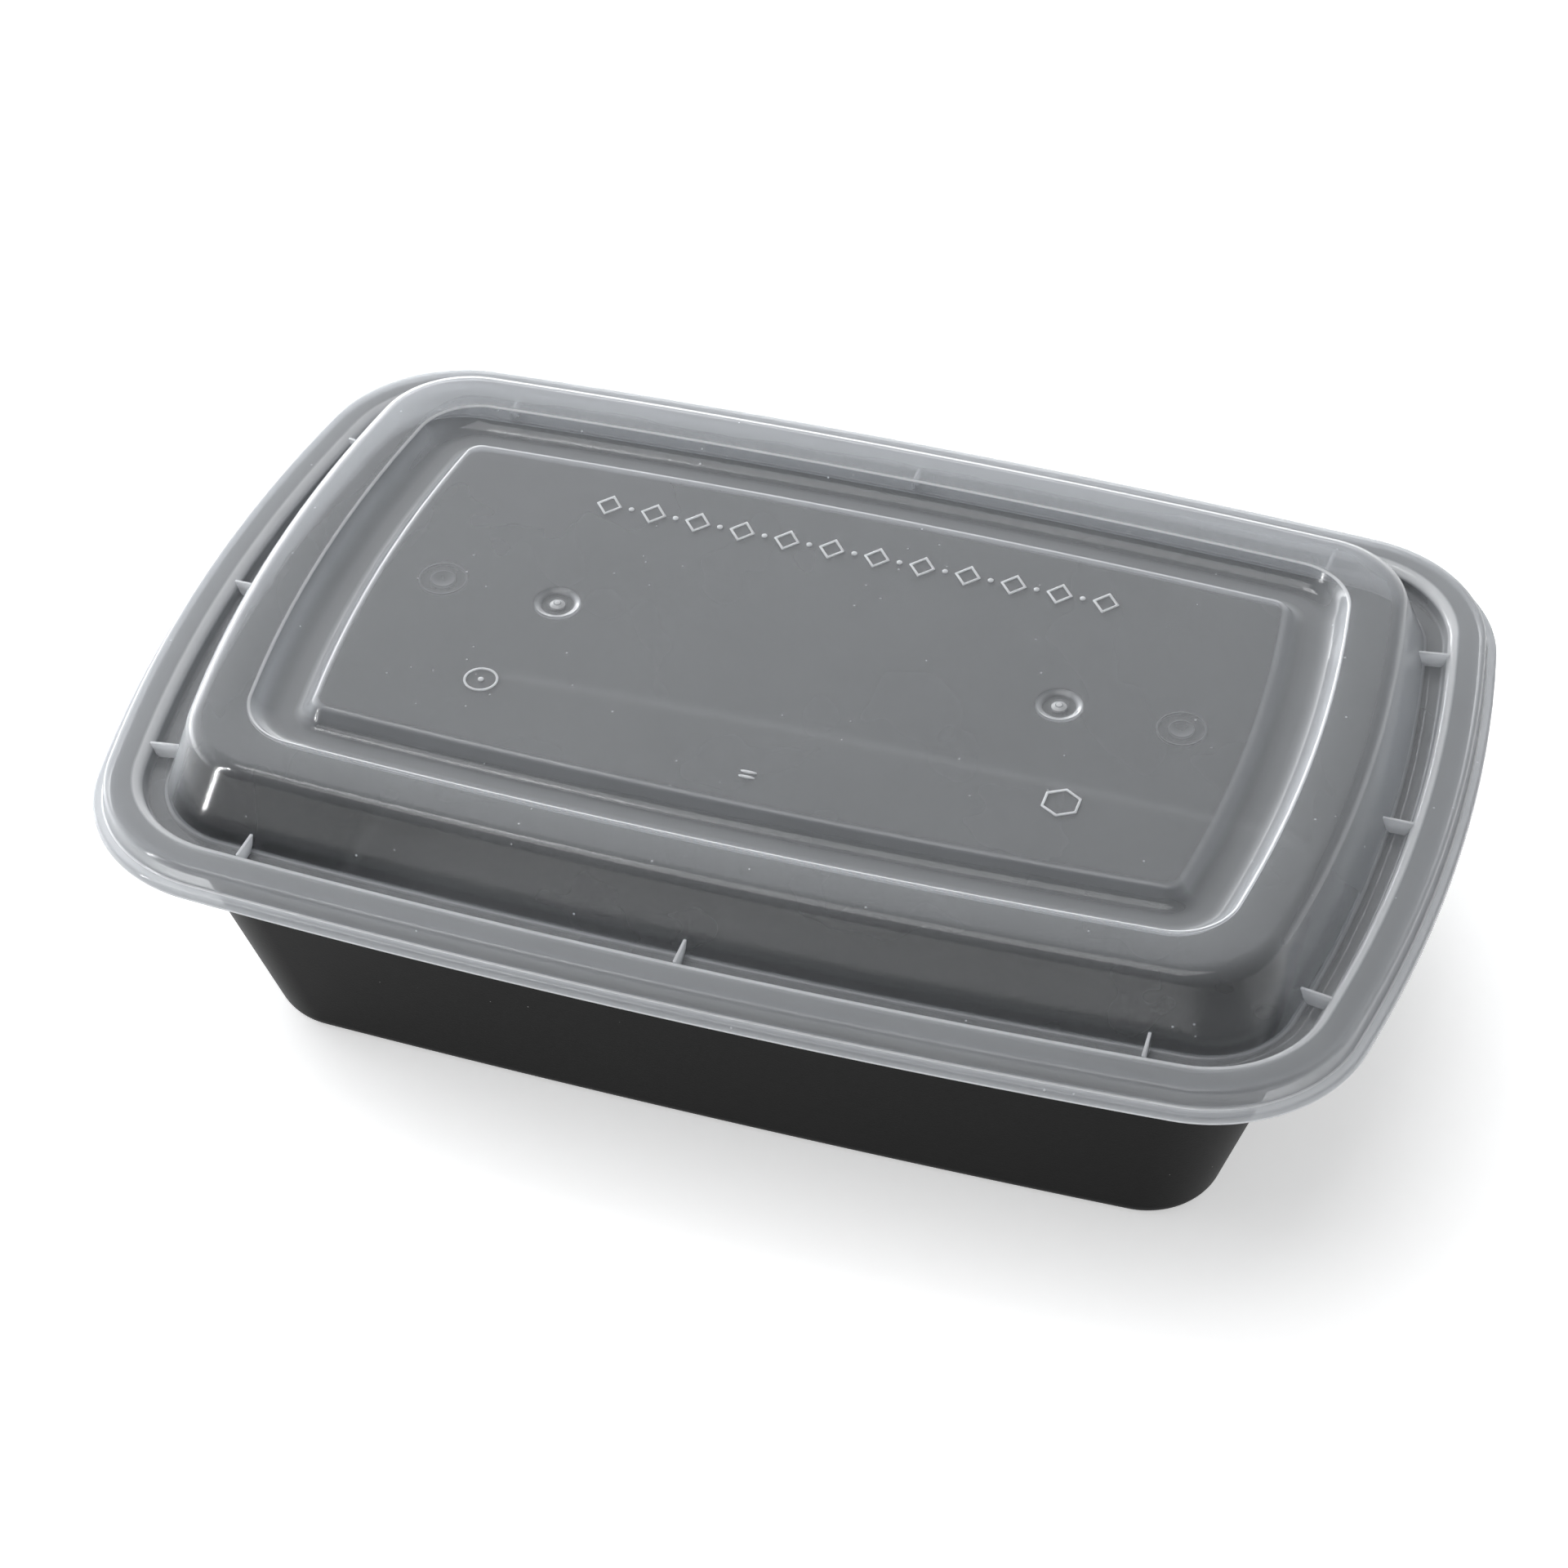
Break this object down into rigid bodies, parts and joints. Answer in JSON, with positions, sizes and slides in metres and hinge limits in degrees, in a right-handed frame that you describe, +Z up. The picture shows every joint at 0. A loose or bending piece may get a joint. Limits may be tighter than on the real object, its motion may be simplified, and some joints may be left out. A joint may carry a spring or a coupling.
{
  "type": "takeaway meal container",
  "caption": "Deep rectangular black plastic food tray with a translucent domed lid snapped over its rim.",
  "frame": {"origin": "middle of the flat underside of the tray, on the surface it stands on", "axes": "+X along the container, +Y across it, +Z up out of the tray towards the lid"},
  "size_m": [0.222, 0.148, 0.0635],
  "materials": {
    "tray": "satin black injection-moulded polypropylene",
    "lid": "thin milky translucent polypropylene, glossy, whiter at its edges and folds"
  },
  "bodies": {
    "root": {"tray": "tray", "lid": "lid"}
  },
  "joints": []
}
